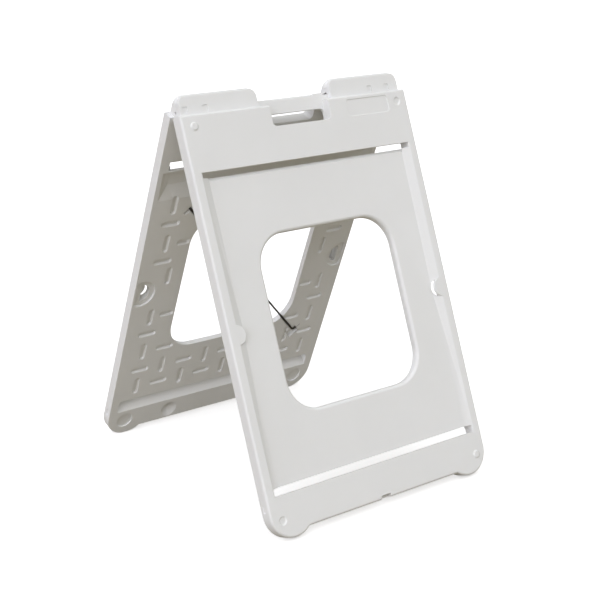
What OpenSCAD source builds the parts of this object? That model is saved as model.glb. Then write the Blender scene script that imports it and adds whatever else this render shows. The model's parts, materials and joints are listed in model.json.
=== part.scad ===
// Folding A-frame sign stand: two like moulded panels, hinged at the top on two
// pins, with a swing-out steel stay rod stowed in the rear panel's inner face.
// Frame: +Z up, feet on z = 0, hinge line along X, front panel on the -Y side.

/* [Stance] */
// Angle between the two open panels, in degrees
spread = 43.6; // [30:0.1:50]
// Radial air between a hinge knuckle and the other panel
knuckle_gap = 0.4; // [0.3:0.1:1]

/* [Panel] */
// Panel width across the side edges
panel_w = 635; // [500:5:700]
// Hinge axis down to the panel's top edge
top_s = 11; // [10:1:25]
// Hinge axis down to the straight bottom edge
bottom_s = 929; // [800:1:1000]
// Hinge mid-plane to the inner face
inner_d = 1; // [0.5:0.1:3]
// Hinge mid-plane to the outer face
outer_d = 30.5; // [25:0.5:40]
// Radius of the round feet
foot_r = 58; // [40:1:70]
// Rounding of the outer edges
edge_r = 6; // [3:0.5:9]
// Flat ground on the bottom of each foot, measured as height removed
foot_flat = 1; // [0.5:0.1:2]

/* [Sign recess] */
// Depth of the recess that takes the sign sheet
recess_depth = 11; // [5:0.5:14]
// Half width of the recess at the outer face
recess_half_w = 296; // [250:1:305]
// Width of the sloping side of the recess
recess_bevel = 23; // [5:1:30]
// Top and bottom of the upper sheet slot
upper_slot = [138.3, 150.4]; // [100:0.1:200]
// Top and bottom of the lower sheet slot
lower_slot = [830.5, 847]; // [780:0.1:880]
// Half width of the slots
slot_half_w = 293; // [240:1:300]
// Depth of the trough in the inner face under the upper slot
trough_depth = 10; // [4:1:12]

/* [Window] */
// Half width of the central window
window_half_w = 188.5; // [120:0.5:220]
// Top and bottom of the window
window_span = [294, 689]; // [200:1:760]
// Corner radius of the window
window_r = 75; // [30:1:100]
// Rounding around the window's outer rim
window_rim_r = 8; // [2:0.5:10]

/* [Handle] */
// Half width of the finger opening
handle_half_w = 82; // [60:1:95]
// Top and bottom of the finger opening
finger_span = [30, 60]; // [20:1:90]
// Outer surface of the set-back grip bar
grip_d = 9; // [6:0.5:14]

/* [Hinge lobes] */
// Inner and outer end of each lobe
lobe_u = [103, 307]; // [90:1:315]
// Height of the lobes above the hinge axis
lobe_rise = 33; // [20:1:40]
// Outer surface of the lobes
lobe_d = 20; // [18:0.5:24]
// Corner radius of the lobes
lobe_r = 20; // [5:1:25]
// Radius of the hinge knuckles
knuckle_r = 16; // [12:0.5:17]
// Hinge pin radius
pin_r = 3; // [2:0.1:5]
// Radial running clearance of the pin in the rear panel
pin_play = 0.05; // [0.02:0.01:0.1]
// Depth of each pin end below the end of its lobe
pin_inset = 9; // [2:1:20]
// Radius of the wider mouth of the pin bore at the grip end of each lobe
mouth_r = 7; // [4:0.5:10]

/* [Tabs and tack-offs] */
// Height of the two side tabs that hold the sheet
tab_s = 492; // [400:1:600]
// Radius of the side tabs
tab_r = 22; // [12:1:30]
// Gap between a tab and the edge of its hole
tab_gap = 1.5; // [1:0.5:6]
// Thickness of the side tabs
tab_t = 6; // [2:0.5:7]
// Length of the tack-off dimples
dimple_len = 50; // [40:1:60]
// Half width of a dimple at the inner face
dimple_r = 7.5; // [5:0.5:9]
// Half width of a dimple at its floor
dimple_floor_r = 4.5; // [2:0.5:7]
// Depth of the tack-off dimples
dimple_depth = 5; // [2:0.5:8]
// Column spacing of the tack-off dimples
dimple_pitch = 64; // [50:0.5:80]

// Distance of the stacking nubs and cups from the middle
nub_u = 287; // [250:1:300]
// Heights of the upper and lower ones
nub_s = [38, 900]; // [20:1:920]

/* [Stay rod] */
// Rod wire radius
wire_r = 2.5; // [2:0.1:4]
// Length of the rod between the centre lines of its bent ends
rod_len = 626; // [500:1:700]
// Slope of the stowed rod, in degrees
rod_slope = 47.3; // [40:0.1:55]
// Length of the pivot leg from the rod's centre line
leg_len = 25; // [18:1:35]
// Length of the free end's tip, turned into the panel, from the rod's centre line
hook_len = 9; // [8:1:11]
// Bend radius of the wire's centre line
bend_r = 6; // [5:0.5:12]
// Depth of the rod's groove below the inner face
groove_depth = 5.5; // [5:0.5:9]
// Width of the rod's groove
groove_w = 7; // [6.5:0.5:14]
// Pocket around the pivot leg, from the rod's centre line: leg side and far side
pocket_reach = [12, 20]; // [8:1:24]
// Depth of that pocket
pocket_depth = 9; // [6:0.5:11]
// Radial play of the leg in its bore
leg_play = 0.05; // [0.02:0.01:0.1]

/* [Hidden] */
$fn = 96;
half_w = panel_w / 2;
tilt = spread / 2;
floor_d = outer_d - recess_depth;
foot_u = half_w - foot_r;
foot_s = 885;
stand_h = (foot_s + foot_r) * cos(tilt) - inner_d * sin(tilt) - foot_flat;
stop_gap = 0.15;
knuckle_len = (lobe_u[1] - lobe_u[0]) / 3;
rod_d = inner_d + groove_depth - wire_r - 0.5;
rod_mid_u = -5;
rod_mid_s = 496.5;
tip_u = rod_len / 2 * cos(rod_slope);
tip_rise = rod_len / 2 * sin(rod_slope);
step_u = foot_u - sqrt(pow(foot_r, 2) - pow(bottom_s - foot_s, 2));
step_angle = 180 - atan2(bottom_s - foot_s, foot_u - step_u);

// Each panel is drawn upright about the hinge axis: u across, s down, d outward.

// Turns a flat (u, -s) drawing into a slab between two distances outward.
module slab(d0, d1) {
  translate([0, -d0, 0]) rotate([90, 0, 0]) linear_extrude(d1 - d0) children();
}

// Runs a (u, -d) section down the panel.
module down(s0, s1) {
  translate([0, 0, -s1]) linear_extrude(s1 - s0) children();
}

// Runs a (-d, -s) section across the panel.
module across(u0, u1) {
  translate([u0, 0, 0]) rotate([90, 0, 90]) linear_extrude(u1 - u0) children();
}

module area(u0, u1, s0, s1) {
  translate([u0, -s1]) square([u1 - u0, s1 - s0]);
}

module round_area(u0, u1, s0, s1, r) {
  area(u0 + r, u1 - r, s0, s1);
  area(u0, u1, s0 + r, s1 - r);
  for (u = [u0 + r, u1 - r], s = [s0 + r, s1 - r])
    translate([u, -s]) circle(r);
}

module pill(length, width) {
  square([length - width, width], center = true);
  for (k = [-1, 1]) translate([k * (length - width) / 2, 0]) circle(width / 2);
}

module both_sides() {
  children();
  mirror([1, 0, 0]) children();
}

// Waste left outside a rounded corner, centred on the rounding's centre.
module corner_waste(r) {
  difference() {
    square(r + 1);
    circle(r);
  }
}

module outline() {
  area(-half_w, half_w, top_s, foot_s);
  area(-foot_u, foot_u, foot_s - 1, bottom_s);
  for (k = [-1, 1]) translate([k * foot_u, -foot_s]) circle(foot_r);
}

// Rounds the panel's outer edges: sides, top, bottom and around the feet.
module outer_edge_rounding() {
  d = outer_d - edge_r;
  both_sides() {
    down(top_s - 1, foot_s) translate([half_w - edge_r, -d]) mirror([0, 1]) corner_waste(edge_r);
    translate([foot_u, -d, -foot_s]) rotate([90, 0, 0]) rotate([0, 0, -step_angle])
      rotate_extrude(angle = step_angle) translate([foot_r - edge_r, 0]) corner_waste(edge_r);
  }
  across(-half_w - 1, half_w + 1) translate([-d, -top_s - edge_r]) mirror([1, 0]) corner_waste(edge_r);
  across(-step_u, step_u) translate([-d, -bottom_s + edge_r]) rotate(180) corner_waste(edge_r);
}

// Rounds the outer rim of the window.
module window_rim_rounding() {
  r = window_rim_r;
  top = window_span[0];
  bottom = window_span[1];
  across(-window_half_w + window_r, window_half_w - window_r) {
    translate([-floor_d + r, -top + r]) rotate(180) corner_waste(r);
    translate([-floor_d + r, -bottom - r]) mirror([1, 0]) corner_waste(r);
  }
  both_sides() {
    down(top + window_r, bottom - window_r)
      translate([window_half_w + r, -floor_d + r]) rotate(180) corner_waste(r);
    for (s = [top + window_r, bottom - window_r])
      translate([window_half_w - window_r, -floor_d + r, -s]) rotate([90, 0, 0])
        rotate([0, 0, s < rod_mid_s ? 0 : -90]) rotate_extrude(angle = 90)
          translate([window_r + r, 0]) mirror([1, 0]) corner_waste(r);
  }
}

// Section through a lobe: the sloping face meets the other panel's lobe when open.
module lobe_section() {
  top_d = (stop_gap + lobe_rise * sin(tilt)) / cos(tilt);
  low_s = (inner_d * cos(tilt) - stop_gap) / sin(tilt);
  difference() {
    polygon([[-inner_d, -top_s - 2], [-lobe_d, -top_s - 2], [-lobe_d, lobe_rise],
      [-top_d, lobe_rise], [-inner_d, low_s]]);
    translate([-lobe_d + 4, lobe_rise - 4]) mirror([1, 0]) corner_waste(4);
  }
}

module lobe() {
  intersection() {
    across(lobe_u[0], lobe_u[1]) lobe_section();
    slab(0, outer_d) round_area(lobe_u[0], lobe_u[1], -lobe_rise, top_s + 40, lobe_r);
  }
}

// Start of each knuckle that the panel owns, and of each one the other panel owns.
function own_knuckles() = [lobe_u[0], lobe_u[0] + 2 * knuckle_len, -lobe_u[0] - 2 * knuckle_len];
function other_knuckles() = [for (u = own_knuckles()) -u - knuckle_len];

module handle_cuts() {
  h = handle_half_w;
  slab(grip_d, outer_d + 1) {
    area(-h, h, -10, finger_span[1] - 10);
    round_area(-h, h, 20, finger_span[1], 10);
  }
  slab(-1, outer_d + 1) round_area(-h, h, finger_span[0], finger_span[1], 10);
}

module grip_bar() {
  slab(inner_d, grip_d) area(-lobe_u[0] - 1, lobe_u[0] + 1, -1, top_s + 9);
}

// Low lug on the front panel's grip bar.
module grip_lug() {
  slab(inner_d, grip_d) round_area(57, 85, -6, 6, 4);
}

module recess_cuts() {
  flat = recess_half_w - recess_bevel;
  slope = recess_bevel / recess_depth;
  down(upper_slot[0], lower_slot[1])
    polygon([[-flat, -floor_d], [flat, -floor_d], [recess_half_w + slope, -outer_d - 1],
      [-recess_half_w - slope, -outer_d - 1]]);
  slab(0, outer_d) {
    area(-slot_half_w, slot_half_w, upper_slot[0], upper_slot[1]);
    area(-slot_half_w, slot_half_w, lower_slot[0], lower_slot[1]);
  }
  // The upper slot runs slantwise, so that the sheet tucks behind its top lip.
  across(-slot_half_w, slot_half_w) {
    polygon([[1, -upper_slot[0] + 16], [1, -upper_slot[0] - 1], [-17, -upper_slot[0] - 1],
      [-17, -upper_slot[0]]]);
    polygon([[-9.5, -upper_slot[1]], [-9.5, -upper_slot[1] + 1], [-floor_d - 1, -upper_slot[1] + 1],
      [-floor_d - 1, -upper_slot[1] - 8.4]]);
  }
  slab(0, outer_d)
    round_area(-window_half_w, window_half_w, window_span[0], window_span[1], window_r);
  window_rim_rounding();
}

// Half-round hole under a side tab, and the wide round recess around it.
module tab_cuts() {
  both_sides() {
    slab(0, outer_d - tab_t) intersection() {
      translate([recess_half_w, -tab_s]) circle(tab_r + tab_gap);
      area(recess_half_w - 40, recess_half_w, tab_s - 40, tab_s + 40);
    }
    slab(0, inner_d + 5) intersection() {
      translate([recess_half_w, -tab_s]) circle(36);
      area(0, half_w - 6, tab_s - 40, tab_s + 40);
    }
  }
}

module side_tabs() {
  both_sides()
    slab(outer_d - tab_t, outer_d) intersection() {
      translate([recess_half_w, -tab_s]) circle(tab_r);
      area(recess_half_w - 40, recess_half_w + 4, tab_s - 40, tab_s + 40);
    }
}

// One drafted, round-ended dimple sunk into the inner face, lying along u at angle 0.
module tack_off(u, s, angle, length = dimple_len) {
  top_r = dimple_r + (dimple_r - dimple_floor_r) / dimple_depth;
  h = dimple_depth + 1;
  run = length - 2 * dimple_r;
  translate([u, -inner_d + 1, -s]) rotate([90, 0, 0]) rotate(angle) {
    rotate([90, 0, 90]) linear_extrude(run, center = true)
      polygon([[-top_r, 0], [top_r, 0], [dimple_floor_r, h], [-dimple_floor_r, h]]);
    for (k = [-1, 1])
      translate([k * run / 2, 0, 0]) cylinder(r1 = top_r, r2 = dimple_floor_r, h = h);
  }
}

// Basket-weave dimples: two rows across the bottom, and columns down both sides.
module tack_offs() {
  for (c = [-4 : 4]) {
    turn = abs(c) % 2 == 0 ? 0 : 90;
    tack_off(c * dimple_pitch, 735, turn);
    tack_off(c * dimple_pitch, 789, 90 - turn);
  }
  both_sides() {
    for (s = [297, 404, 621]) tack_off(257, s, 0);
    for (s = [246, 353, 570, 677]) tack_off(257, s, 90);
    tack_off(210, 357, 0, 36);
    tack_off(231, 451, 90);
    tack_off(213, 568, 0, 40);
    tack_off(196, 676, 0);
  }
}

// Turns children to lie along the stowed rod: x towards the free end, y to the leg side.
module along_rod() {
  translate([rod_mid_u - tip_u, -rod_d, -rod_mid_s - tip_rise]) rotate([0, -rod_slope, 0]) children();
}

// Sinks a box of the given depth into the inner face, between two corners (x, y) along the rod.
module sunk_along_rod(from, to, depth) {
  translate([from[0], rod_d - inner_d - depth, from[1]])
    cube([to[0] - from[0], depth + 2, to[1] - from[1]]);
}

// Groove for the rod, pocket and bore for its leg, hole for its tip and a finger slot beside it.
module rod_groove() {
  tip_depth = rod_d - inner_d + hook_len + 0.5;
  along_rod() {
    sunk_along_rod([-4, -groove_w / 2], [rod_len + 4, groove_w / 2], groove_depth);
    sunk_along_rod([-12.5, -pocket_reach[1]], [12, pocket_reach[0]], pocket_depth);
    sunk_along_rod([rod_len - 9, -groove_w / 2], [rod_len + 4, groove_w / 2], tip_depth);
    sunk_along_rod([rod_len + 0.5, -18.5], [rod_len + 9, 5], groove_depth);
    cylinder(r = wire_r + leg_play, h = leg_len + 1);
  }
}

// Trough with a long ramp under the upper slot, and the sloping ledge of the lower slot.
module inner_troughs() {
  deep = inner_d + trough_depth;
  intersection() {
    across(-half_w, half_w)
      polygon([[1, -154], [-inner_d, -154], [-deep, -160], [-deep, -192], [-inner_d, -228], [1, -228]]);
    down(150, 235)
      polygon([[-305, 1], [-305, -inner_d], [-282, -deep], [282, -deep], [305, -inner_d], [305, 1]]);
  }
  across(-slot_half_w - 2, slot_half_w + 2)
    polygon([[1, -869], [-inner_d - 20, -847], [-inner_d - 20, -838], [1, -838]]);
}

// Sockets for a rod tip, recesses over the feet, side marks and the bottom notch.
module small_cuts() {
  both_sides() {
    translate([138, -inner_d - 11, -901]) rotate([-90, 0, 0]) cylinder(r1 = 5, r2 = 23, h = 11.01);
    slab(0, inner_d + 4) translate([269, -899.5]) circle(21.5);
    translate([half_w - 2.5, -13, -868]) rotate([0, 90, 0]) rotate(5) linear_extrude(4) pill(18, 9);
  }
  for (u = [-294, -242.5, 220, 272]) slab(lobe_d - 2, lobe_d + 5) round_area(u - 7, u + 7, -8, 7, 2.5);
  slab(14, outer_d + 1) area(-15.5, 11.5, bottom_s - 9, bottom_s + 5);
  slab(outer_d - 1.6, outer_d + 1) round_area(134, 258, 21, 60, 7);
  translate([nub_u, -outer_d + 2.5, -nub_s[0]]) rotate([90, 0, 0]) cylinder(r1 = 7, r2 = 11.8, h = 4);
  translate([-nub_u, -outer_d + 2.5, -nub_s[1]]) rotate([90, 0, 0]) cylinder(r1 = 7, r2 = 11.8, h = 4);
}

module stacking_nubs() {
  translate([-nub_u, -outer_d + 1, -nub_s[0]]) rotate([90, 0, 0]) cylinder(r1 = 11.4, r2 = 7, h = 3.5);
  translate([nub_u, -outer_d + 1, -nub_s[1]]) rotate([90, 0, 0]) cylinder(r1 = 11.4, r2 = 7, h = 3.5);
}

// One panel, upright about the hinge axis: its pin bores have the given radius, and the
// grooved one stows the rod.
module panel(bore_r, grooved) {
  difference() {
    union() {
      difference() {
        union() {
          slab(inner_d, outer_d) outline();
          both_sides() lobe();
        }
        outer_edge_rounding();
        handle_cuts();
        recess_cuts();
        tab_cuts();
        tack_offs();
        inner_troughs();
        if (grooved) rod_groove();
        small_cuts();
      }
      side_tabs();
      grip_bar();
      stacking_nubs();
      for (u = own_knuckles())
        translate([u + knuckle_gap / 2, 0, 0]) rotate([0, 90, 0])
          cylinder(r = knuckle_r, h = knuckle_len - knuckle_gap);
    }
    for (u = other_knuckles())
      translate([u - knuckle_gap / 2, 0, 0]) rotate([0, 90, 0])
        cylinder(r = knuckle_r + knuckle_gap, h = knuckle_len + knuckle_gap);
    translate([-half_w, 0, 0]) rotate([0, 90, 0]) cylinder(r = bore_r, h = panel_w);
    both_sides()
      translate([lobe_u[0] - 4, 0, 0]) rotate([0, 90, 0]) cylinder(r = mouth_r, h = pin_inset + 3);
  }
}

// Stands an upright panel on the floor as the front one, cutting the foot flats.
module stand_front() {
  difference() {
    translate([0, 0, stand_h]) rotate([-tilt, 0, 0]) children();
    translate([-half_w - 10, -600, -20]) cube([panel_w + 20, 600, 20]);
  }
}

module front_panel() {
  color([0.86, 0.86, 0.855]) stand_front() {
    panel(pin_r, false);
    grip_lug();
  }
}

module rear_panel() {
  color([0.84, 0.84, 0.835]) rotate([0, 0, 180]) stand_front() panel(pin_r + pin_play, true);
}

module hinge_pin() {
  translate([lobe_u[0] + pin_inset, 0, stand_h]) rotate([0, 90, 0])
    cylinder(r = pin_r, h = lobe_u[1] - lobe_u[0] - 2 * pin_inset);
}

module hinge_pin_left() {
  color([0.35, 0.35, 0.36]) mirror([1, 0, 0]) hinge_pin();
}

module hinge_pin_right() {
  color([0.35, 0.35, 0.36]) hinge_pin();
}

// Wire with a right-angle leg at the pivot end and a short tip turned into the panel.
module rod_wire() {
  translate([bend_r, 0, 0]) rotate([0, 90, 0]) cylinder(r = wire_r, h = rod_len - 2 * bend_r);
  translate([0, 0, bend_r]) cylinder(r = wire_r, h = leg_len - bend_r);
  translate([bend_r, 0, bend_r]) rotate([90, 0, 0]) rotate([0, 0, 180])
    rotate_extrude(angle = 90) translate([bend_r, 0]) circle(wire_r);
  translate([rod_len, -bend_r, 0]) rotate([90, 0, 0]) cylinder(r = wire_r, h = hook_len - bend_r);
  translate([rod_len - bend_r, -bend_r, 0])
    rotate_extrude(angle = 90) translate([bend_r, 0]) circle(wire_r);
}

module stay_rod() {
  color([0.23, 0.22, 0.21])
    rotate([0, 0, 180]) translate([0, 0, stand_h]) rotate([-tilt, 0, 0]) along_rod() rod_wire();
}

front_panel();
rear_panel();
hinge_pin_left();
hinge_pin_right();
stay_rod();
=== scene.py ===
"""Folding A-frame sign stand: looks, floor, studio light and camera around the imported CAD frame."""
import json
import math

import bmesh
import bpy
from mathutils import Matrix, Vector
from mathutils.bvhtree import BVHTree
from mathutils.kdtree import KDTree


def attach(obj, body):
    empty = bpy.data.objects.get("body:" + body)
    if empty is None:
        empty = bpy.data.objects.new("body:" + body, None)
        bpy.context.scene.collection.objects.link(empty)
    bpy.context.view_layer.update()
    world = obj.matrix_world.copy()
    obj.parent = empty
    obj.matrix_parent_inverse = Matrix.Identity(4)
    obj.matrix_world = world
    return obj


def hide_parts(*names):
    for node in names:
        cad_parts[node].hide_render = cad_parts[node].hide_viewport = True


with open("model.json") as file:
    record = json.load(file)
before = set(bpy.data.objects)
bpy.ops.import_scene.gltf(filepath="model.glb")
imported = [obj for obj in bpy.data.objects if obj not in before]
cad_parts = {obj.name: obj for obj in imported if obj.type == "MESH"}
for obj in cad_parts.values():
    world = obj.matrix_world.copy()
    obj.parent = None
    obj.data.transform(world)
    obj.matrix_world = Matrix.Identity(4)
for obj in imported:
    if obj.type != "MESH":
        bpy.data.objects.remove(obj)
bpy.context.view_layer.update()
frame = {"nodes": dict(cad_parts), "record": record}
NODES = frame["nodes"]

# Camera, in the row frame: metres and degrees
CAMERA_AT = (-1.8237, -2.4139, 1.3726)
CAMERA_YAW = 37.56
CAMERA_PITCH = -17.89
CAMERA_ROLL = 0.394
CAMERA_LENS = 80.02
SENSOR = 36.0

# Softening of the moulded edges: the cut-back in metres, the least corner in degrees,
# and the reach around the hinge axis where the tight knuckle clearances stay as they are
EDGE_SOFTNESS = 0.0009
EDGE_CORNER = 28.0
HINGE_REACH = 0.022
# A softened point farther from the form than this share of the softness shows a sliver
STRAY_SHARE = 0.6
# Corners around a stray point that are spared, and the distance within which two points are one
SPARED_CORNERS = 3
SAME_PLACE = 1e-5
# Joining up the CAD mesh: the widest gap in metres and the greatest bend in degrees
WELD_GAP = 3e-6
FLAT_BEND = 0.6

# A face wider than this, in metres, is a flat of its own and not part of a curve
WIDE_FACE = 0.003
# Shading turns crisp above these bends in degrees: between two flats, and anywhere else
FLAT_CRISP = 6.0
CURVE_CRISP = 50.0

# Colours: the plastic's lighter and darker clouds, and the two steels
PLASTIC = (0.80, 0.80, 0.79), (0.78, 0.78, 0.77)
PIN_COLOUR = (0.36, 0.36, 0.37)
ROD_COLOUR = (0.10, 0.095, 0.09)

# The floor: its side, the colour of the light it throws back, and its glow where it is seen
FLOOR_SIDE = 120.0
FLOOR_BOUNCE = (0.33, 0.295, 0.215)
FLOOR_GLOW = 0.45

# The sky's strength as a fill light, and where it is seen
SKY_FILL = 0.32
SKY_SEEN = 1.0

# Wide, even suns: name, degrees from the front towards the left, degrees above the floor,
# spread in degrees, strength and colour
SUNS = (
    ("overhead", 0.0, 89.9, 60.0, 0.64, (1.0, 0.995, 0.975)),
    ("front", 0.0, 50.0, 40.0, 0.30, (0.90, 0.95, 1.0)),
    ("front_left", 40.0, 38.0, 40.0, 0.66, (0.985, 0.985, 1.0)),
    ("front_right", -40.0, 38.0, 40.0, 0.38, (0.98, 0.99, 1.0)),
    ("side_left", 65.0, 28.0, 40.0, 0.45, (0.93, 0.93, 1.0)),
    ("left", 78.0, 12.0, 40.0, 1.0, (0.85, 0.86, 1.0)),
    ("back_left", 150.0, 30.0, 40.0, 0.55, (0.95, 0.95, 1.0)),
    ("right", -90.0, 45.0, 40.0, 0.10, (1.0, 0.97, 0.87)),
)


# ---------------------------------------------------------------- node helpers

class Graph:
    """A short way to add and join shader nodes in one material."""

    def __init__(self, name):
        self.material = bpy.data.materials.new(name)
        self.material.use_nodes = True
        self.tree = self.material.node_tree
        self.shader = self.tree.nodes["Principled BSDF"]

    def add(self, kind, **values):
        node = self.tree.nodes.new("ShaderNode" + kind)
        for key, value in values.items():
            setattr(node, key, value)
        return node

    def join(self, source, target):
        self.tree.links.new(source, target)

    def noise(self, place, scale, detail=3.0, roughness=0.55):
        node = self.add("TexNoise", noise_dimensions="3D")
        node.inputs["Scale"].default_value = scale
        node.inputs["Detail"].default_value = detail
        node.inputs["Roughness"].default_value = roughness
        self.join(place, node.inputs["Vector"])
        return node.outputs["Fac"]

    def placed(self, shift):
        """The object's own coordinates, shifted so that like pieces don't share one pattern."""
        node = self.add("Mapping")
        node.inputs["Location"].default_value = shift
        self.join(self.add("TexCoord").outputs["Object"], node.inputs["Vector"])
        return node.outputs["Vector"]

    def stretched(self, place, size):
        node = self.add("Mapping")
        node.inputs["Scale"].default_value = size
        self.join(place, node.inputs["Vector"])
        return node.outputs["Vector"]

    def remap(self, value, low, high, to_low=0.0, to_high=1.0):
        node = self.add("MapRange")
        node.inputs["From Min"].default_value = low
        node.inputs["From Max"].default_value = high
        node.inputs["To Min"].default_value = to_low
        node.inputs["To Max"].default_value = to_high
        self.join(value, node.inputs["Value"])
        return node.outputs["Result"]

    def combine(self, operation, first, second):
        node = self.add("Math", operation=operation)
        for socket, value in zip(node.inputs, (first, second)):
            if isinstance(value, (int, float)):
                socket.default_value = value
            else:
                self.join(value, socket)
        return node.outputs["Value"]

    def mix(self, factor, first, second):
        """Blends two colours. The colour sockets of a Mix node share their names, so they go by number."""
        node = self.add("Mix", data_type="RGBA")
        self.join(factor, node.inputs[0])
        for socket, value in ((node.inputs[6], first), (node.inputs[7], second)):
            if isinstance(value, tuple):
                socket.default_value = (*value, 1.0)
            else:
                self.join(value, socket)
        return node.outputs[2]

    def bump(self, height, strength, distance, normal=None):
        node = self.add("Bump")
        node.inputs["Strength"].default_value = strength
        node.inputs["Distance"].default_value = distance
        self.join(height, node.inputs["Height"])
        if normal is not None:
            self.join(normal, node.inputs["Normal"])
        return node.outputs["Normal"]


# ------------------------------------------------------------------- materials

def moulded_plastic(name, light, dark, seed):
    """White blow-moulded polyethylene: fine mould grain, soft ripple and faint scuffs."""
    g = Graph(name)
    place = g.placed((seed, seed * 0.7, -seed))
    cloud = g.noise(place, 7.0, 4.0)
    grain = g.noise(place, 1100.0, 2.0)
    ripple = g.noise(g.stretched(place, (1.0, 1.0, 0.35)), 16.0, 2.0)
    scuff = g.noise(g.stretched(place, (1.0, 1.0, 0.08)), 260.0, 4.0, 0.7)
    scuff_mask = g.remap(g.noise(place, 3.5, 2.0), 0.52, 0.72)
    scuffs = g.combine("MULTIPLY", g.remap(scuff, 0.62, 0.75), scuff_mask)
    tone = g.mix(g.remap(cloud, 0.3, 0.7), light, dark)
    worn = tuple(channel * 0.93 for channel in dark)
    g.join(g.mix(g.combine("MULTIPLY", scuffs, 0.35), tone, worn), g.shader.inputs["Base Color"])
    rough = g.remap(cloud, 0.3, 0.7, 0.42, 0.52)
    worn_rough = g.combine("ADD", rough, g.combine("MULTIPLY", scuffs, 0.12))
    g.join(worn_rough, g.shader.inputs["Roughness"])
    soft = g.bump(ripple, 0.12, 0.004)
    fine = g.bump(grain, 0.10, 0.0006, soft)
    g.join(g.bump(scuffs, 0.05, -0.0003, fine), g.shader.inputs["Normal"])
    g.shader.inputs["IOR"].default_value = 1.51
    g.shader.inputs["Subsurface Weight"].default_value = 0.12
    g.shader.inputs["Subsurface Radius"].default_value = (1.0, 0.92, 0.8)
    g.shader.inputs["Subsurface Scale"].default_value = 0.004
    return g.material


def drawn_steel(name, colour, roughness, seed):
    """Drawn steel wire or rod: a fine grain under a patchy oxide film."""
    g = Graph(name)
    place = g.placed((seed, 0.0, seed))
    film = g.noise(place, 55.0, 5.0, 0.6)
    grain = g.noise(place, 900.0, 3.0)
    darker = tuple(channel * 0.55 for channel in colour)
    g.join(g.mix(g.remap(film, 0.35, 0.65), colour, darker), g.shader.inputs["Base Color"])
    g.join(g.remap(film, 0.3, 0.7, *roughness), g.shader.inputs["Roughness"])
    g.join(g.bump(grain, 0.15, 0.0003), g.shader.inputs["Normal"])
    g.shader.inputs["Metallic"].default_value = 0.85
    return g.material


def studio_floor(name):
    """Pale matt floor, lit up like a light table where it is seen, with a very faint mottle."""
    g = Graph(name)
    place = g.add("TexCoord").outputs["Object"]
    seen = g.add("LightPath").outputs["Is Camera Ray"]
    cloud = g.remap(g.noise(place, 2.0, 3.0), 0.3, 0.7)
    pale = g.mix(cloud, (0.90, 0.90, 0.90), (0.885, 0.885, 0.885))
    g.join(g.mix(seen, FLOOR_BOUNCE, pale), g.shader.inputs["Base Color"])
    g.shader.inputs["Roughness"].default_value = 0.9
    g.shader.inputs["Specular IOR Level"].default_value = 0.1
    g.shader.inputs["Emission Color"].default_value = (1.0, 1.0, 1.0, 1.0)
    g.join(g.combine("MULTIPLY", seen, FLOOR_GLOW), g.shader.inputs["Emission Strength"])
    g.join(g.bump(g.noise(place, 400.0, 2.0), 0.05, 0.0005), g.shader.inputs["Normal"])
    return g.material


MATERIALS = {
    "front_panel": moulded_plastic("front_plastic", *PLASTIC, 0.0),
    "rear_panel": moulded_plastic("rear_plastic", *PLASTIC, 3.1),
    "hinge_pin_left": drawn_steel("pin_steel", PIN_COLOUR, (0.3, 0.45), 0.0),
    "hinge_pin_right": drawn_steel("pin_steel_right", PIN_COLOUR, (0.3, 0.45), 1.7),
    "stay_rod": drawn_steel("rod_steel", ROD_COLOUR, (0.32, 0.5), 0.4),
}


def paint(node, material):
    """Gives a CAD node one material."""
    node.data.materials.clear()
    node.data.materials.append(material)


def moulded_edges(form, hinge_z, spared):
    """The corners of a panel that get softened: clear of the hinge and of the spared points."""
    corner = math.radians(EDGE_CORNER)

    def wanted(vert):
        if math.hypot(vert.co.y, vert.co.z - hinge_z) < HINGE_REACH:
            return False
        return all((vert.co - point).length > SAME_PLACE for point in spared)

    return [e for e in form.edges
            if e.is_manifold and e.calc_face_angle(0.0) > corner and all(map(wanted, e.verts))]


def soften(form, edges):
    """Rounds the given edges with a narrow two-step bevel."""
    bmesh.ops.bevel(form, geom=edges, offset=EDGE_SOFTNESS, offset_type="OFFSET", segments=2,
                    profile=0.5, affect="EDGES", clamp_overlap=False)


def shade_smoothly(form):
    """Smooth shading over the curved strips, crisp between two wide faces that meet at a slope."""
    form.faces.index_update()
    wide = [2.0 * face.calc_area() / face.calc_perimeter() > WIDE_FACE for face in form.faces]
    for face in form.faces:
        face.smooth = True
    for edge in form.edges:
        both_wide = all(wide[face.index] for face in edge.link_faces)
        limit = math.radians(FLAT_CRISP if both_wide else CURVE_CRISP)
        edge.smooth = edge.is_manifold and edge.calc_face_angle(0.0) < limit


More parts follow.
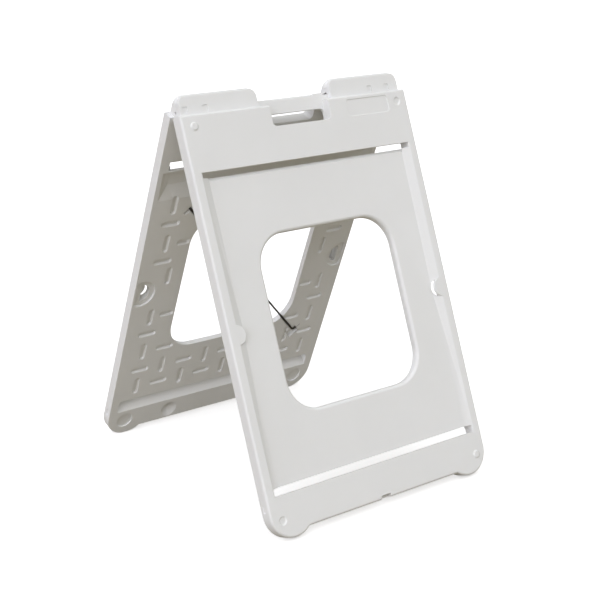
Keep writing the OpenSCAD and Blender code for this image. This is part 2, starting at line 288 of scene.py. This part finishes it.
def softened(node_name, body, material):
    """Stands a copy of a panel in for its CAD node, with its moulded edges softened."""
    hinge_z = frame["record"]["behaviour"]["joints"][0]["pos_m"][2]
    form = bmesh.new()
    form.from_mesh(NODES[node_name].data)
    bmesh.ops.remove_doubles(form, verts=form.verts, dist=WELD_GAP)
    bmesh.ops.dissolve_limit(form, angle_limit=math.radians(FLAT_BEND), verts=form.verts, edges=form.edges)

    # a trial run finds the slivers where softening would stand off the form; they stay crisp
    surface = BVHTree.FromBMesh(form)
    corners = KDTree(len(form.verts))
    for index, vert in enumerate(form.verts):
        corners.insert(vert.co, index)
    corners.balance()
    trial = form.copy()
    soften(trial, moulded_edges(trial, hinge_z, []))
    spared = []
    for vert in trial.verts:
        if surface.find_nearest(vert.co)[3] > STRAY_SHARE * EDGE_SOFTNESS:
            spared += [found[0].copy() for found in corners.find_n(vert.co, SPARED_CORNERS)]
    trial.free()
    soften(form, moulded_edges(form, hinge_z, spared))

    shade_smoothly(form)
    mesh = bpy.data.meshes.new(node_name + "_soft")
    form.to_mesh(mesh)
    form.free()
    mesh.materials.append(material)
    piece = bpy.data.objects.new(node_name + "_soft", mesh)
    bpy.context.scene.collection.objects.link(piece)
    even = piece.modifiers.new("even_normals", "WEIGHTED_NORMAL")
    even.keep_sharp = True
    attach(piece, body)
    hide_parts(node_name)


# ------------------------------------------------------------------- the stage

def make_floor():
    bpy.ops.mesh.primitive_plane_add(size=FLOOR_SIDE, location=(0.0, 0.0, 0.0))
    floor = bpy.context.object
    floor.name = "floor"
    floor.data.materials.append(studio_floor("floor_matt"))


def soft_sun(name, from_left, height, spread, strength, colour):
    """One row of SUNS."""
    turn, rise = math.radians(from_left), math.radians(height)
    ahead = Vector((math.sin(turn) * math.cos(rise), math.cos(turn) * math.cos(rise), -math.sin(rise)))
    data = bpy.data.lights.new(name, "SUN")
    data.angle = math.radians(spread)
    data.energy = strength
    data.color = colour
    lamp = bpy.data.objects.new(name, data)
    lamp.rotation_mode = "QUATERNION"
    lamp.rotation_quaternion = ahead.to_track_quat("-Z", "Y")
    bpy.context.scene.collection.objects.link(lamp)


def make_sky():
    """A weak even fill, which looks white itself."""
    world = bpy.data.worlds.new("studio")
    world.use_nodes = True
    tree = world.node_tree
    sky = tree.nodes["Background"]
    sky.inputs["Color"].default_value = (1.0, 1.0, 1.0, 1.0)
    seen = tree.nodes.new("ShaderNodeLightPath").outputs["Is Camera Ray"]
    strength = tree.nodes.new("ShaderNodeMapRange")
    strength.inputs["To Min"].default_value = SKY_FILL
    strength.inputs["To Max"].default_value = SKY_SEEN
    tree.links.new(seen, strength.inputs["Value"])
    tree.links.new(strength.outputs["Result"], sky.inputs["Strength"])
    bpy.context.scene.world = world


def make_camera():
    yaw, pitch, roll = (math.radians(a) for a in (CAMERA_YAW, CAMERA_PITCH, CAMERA_ROLL))
    ahead = Vector((math.sin(yaw) * math.cos(pitch), math.cos(yaw) * math.cos(pitch), math.sin(pitch)))
    level = Vector((math.cos(yaw), -math.sin(yaw), 0.0))
    upright = level.cross(ahead)
    right = math.cos(roll) * level + math.sin(roll) * upright
    up = math.cos(roll) * upright - math.sin(roll) * level
    data = bpy.data.cameras.new("camera")
    data.lens = CAMERA_LENS
    data.sensor_width = SENSOR
    camera = bpy.data.objects.new("camera", data)
    camera.matrix_world = Matrix.Translation(CAMERA_AT) @ Matrix((right, up, -ahead)).transposed().to_4x4()
    bpy.context.scene.collection.objects.link(camera)
    bpy.context.scene.camera = camera


for node_name, material in MATERIALS.items():
    paint(NODES[node_name], material)
softened("front_panel", "front", MATERIALS["front_panel"])
softened("rear_panel", "rear", MATERIALS["rear_panel"])
make_floor()
for sun in SUNS:
    soft_sun(*sun)
make_sky()
make_camera()
bpy.context.scene.view_settings.view_transform = "Standard"
